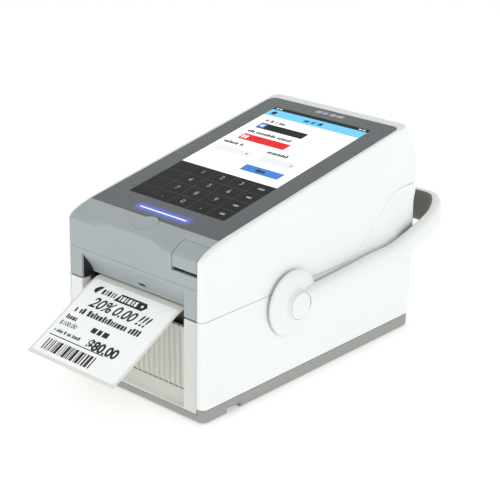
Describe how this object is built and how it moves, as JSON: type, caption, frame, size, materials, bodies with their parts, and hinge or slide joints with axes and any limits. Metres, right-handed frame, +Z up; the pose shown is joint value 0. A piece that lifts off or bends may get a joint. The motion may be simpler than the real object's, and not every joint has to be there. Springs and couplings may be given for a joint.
{
  "type": "label maker",
  "caption": "Desktop label maker: touch screen on a sloping hinged lid, paper roll and drive inside, label mouth in front, swinging carrying handle.",
  "frame": {"origin": "middle of the bounding box, on the plane that the feet stand on", "axes": "+X to the right as seen from the front, +Y to the rear, away from the label mouth, +Z up"},
  "size_m": [0.1536, 0.3114, 0.1563],
  "materials": {
    "white_plastic": "fine moulded texture, semi-matt",
    "base_grey": "warm light grey, matt",
    "cool_grey": "cool light grey, semi-matt",
    "handle_lining": "soft grey-brown over-moulding",
    "foot_rubber": "matt black rubber",
    "screen_glass": "printed cover glass, glossy",
    "light_guide": "frosted light guide, lit blue-white",
    "black_plastic": "black moulded plastic",
    "circuit_board": "solder-masked board",
    "steel": "zinc-plated sheet and turned steel",
    "head_aluminium": "extruded heat sink",
    "bush_brass": "turned",
    "nylon": "natural nylon",
    "liner_paper": "cream release liner",
    "label_paper": "coated white label",
    "core_card": "spiral-wound card"
  },
  "bodies": {
    "case": {"base_pan": "base_grey", "lower_case": "white_plastic", "front_panel": "white_plastic", "foot_front_left": "foot_rubber", "foot_front_right": "foot_rubber", "foot_rear_left": "foot_rubber", "foot_rear_right": "foot_rubber", "base_screw_front_left": "steel", "base_screw_front_right": "steel", "base_screw_rear_left": "steel", "base_screw_rear_right": "steel", "main_board": "circuit_board", "dc_inlet": "black_plastic", "usb_port": "steel", "lan_port": "steel", "chassis_left": "steel", "chassis_right": "steel", "bearing_left": "bush_brass", "bearing_right": "bush_brass", "idler_pin": "steel", "drive_motor": "black_plastic", "web_guide_bar": "steel", "tear_bar": "steel", "sensor_rail": "steel", "media_tray": "black_plastic", "liner_web": "liner_paper", "printed_label": "label_paper", "pivot_stud_left": "steel", "pivot_stud_right": "steel", "hinge_pin_left": "steel", "hinge_pin_right": "steel"},
    "lid": {"lid_cover": "white_plastic", "front_bezel": "cool_grey", "touch_glass": "screen_glass", "led_light_bar": "light_guide", "lcd_module": "black_plastic", "display_board": "circuit_board", "head_carrier": "steel", "head_spring_left": "steel", "head_spring_right": "steel"},
    "print_head": {"print_head": "head_aluminium"},
    "latch": {"latch_shaft": "steel"},
    "release_button": {"release_button": "cool_grey"},
    "power_button": {"power_button": "cool_grey"},
    "platen": {"platen_shaft": "steel", "platen_roller": "foot_rubber", "platen_gear": "nylon"},
    "idler": {"idler_gear": "nylon"},
    "pinion": {"motor_pinion": "bush_brass"},
    "sensor": {"gap_sensor": "black_plastic"},
    "guide_left": {"guide_left": "black_plastic"},
    "guide_right": {"guide_right": "black_plastic"},
    "guide_pinion": {"guide_pinion": "nylon"},
    "roll": {"media_roll": "liner_paper", "roll_core": "core_card"},
    "handle": {"handle_bail": "white_plastic", "handle_lining": "handle_lining", "pivot_cap_left": "white_plastic", "pivot_cap_right": "white_plastic"}
  },
  "joints": [
    {"name": "lid_hinge", "type": "hinge", "parent": "case", "child": "lid", "pos_m": [0, 0.12699, 0.1096], "axis": [-1, 0, 0], "range_deg": [0, 80]},
    {"name": "handle_swing", "type": "hinge", "parent": "case", "child": "handle", "pos_m": [0, -0.01531, 0.0607], "axis": [1, 0, 0], "range_deg": [0, 105]},
    {"name": "release_press", "type": "slide", "parent": "lid", "child": "release_button", "axis": [0, 0, -1], "range_m": [0, 0.002], "stiffness_N_per_m": 800, "springref_m": -0.0005},
    {"name": "latch_turn", "type": "hinge", "parent": "lid", "child": "latch", "pos_m": [0, -0.06711, 0.092], "axis": [1, 0, 0], "range_deg": [0, 5]},
    {"name": "power_press", "type": "slide", "parent": "lid", "child": "power_button", "axis": [0, 0.1788, -0.9839], "range_m": [0, 0.0008], "stiffness_N_per_m": 600, "springref_m": -0.0003},
    {"name": "head_lift", "type": "slide", "parent": "lid", "child": "print_head", "axis": [0, 0, 1], "range_m": [0, 0.0012], "stiffness_N_per_m": 3000, "springref_m": -0.003, "deforming": ["head_spring_left", "head_spring_right"]},
    {"name": "platen_turn", "type": "hinge", "parent": "case", "child": "platen", "pos_m": [0, -0.07811, 0.0639], "axis": [1, 0, 0], "continuous": true},
    {"name": "idler_turn", "type": "hinge", "parent": "case", "child": "idler", "pos_m": [-0.055, -0.06445, 0.04795], "axis": [1, 0, 0], "continuous": true},
    {"name": "pinion_turn", "type": "hinge", "parent": "case", "child": "pinion", "pos_m": [-0.055, -0.06311, 0.03], "axis": [1, 0, 0], "continuous": true},
    {"name": "roll_turn", "type": "hinge", "parent": "case", "child": "roll", "pos_m": [0, 0.04089, 0.064], "axis": [1, 0, 0], "continuous": true},
    {"name": "guide_spread", "type": "slide", "parent": "case", "child": "guide_left", "axis": [-1, 0, 0], "range_m": [0, 0.009], "stiffness_N_per_m": 150, "springref_m": -0.01},
    {"name": "guide_right_slide", "type": "slide", "parent": "case", "child": "guide_right", "axis": [1, 0, 0], "range_m": [0, 0.009]},
    {"name": "guide_pinion_turn", "type": "hinge", "parent": "case", "child": "guide_pinion", "pos_m": [0, 0.04089, 0.012], "axis": [0, 0, -1], "range_deg": [0, 75]},
    {"name": "sensor_slide", "type": "slide", "parent": "case", "child": "sensor", "axis": [1, 0, 0], "range_m": [-0.036, 0.036]}
  ],
  "couplings": [
    {"joint": "latch_turn", "follows": "release_press", "rad_per_m": 41.667},
    {"joint": "idler_turn", "follows": "platen_turn", "ratio": -0.90909},
    {"joint": "pinion_turn", "follows": "platen_turn", "ratio": 1.4286},
    {"joint": "roll_turn", "follows": "platen_turn", "ratio": 0.17778},
    {"joint": "guide_right_slide", "follows": "guide_spread", "ratio": 1},
    {"joint": "guide_pinion_turn", "follows": "guide_spread", "rad_per_m": 142.86}
  ]
}
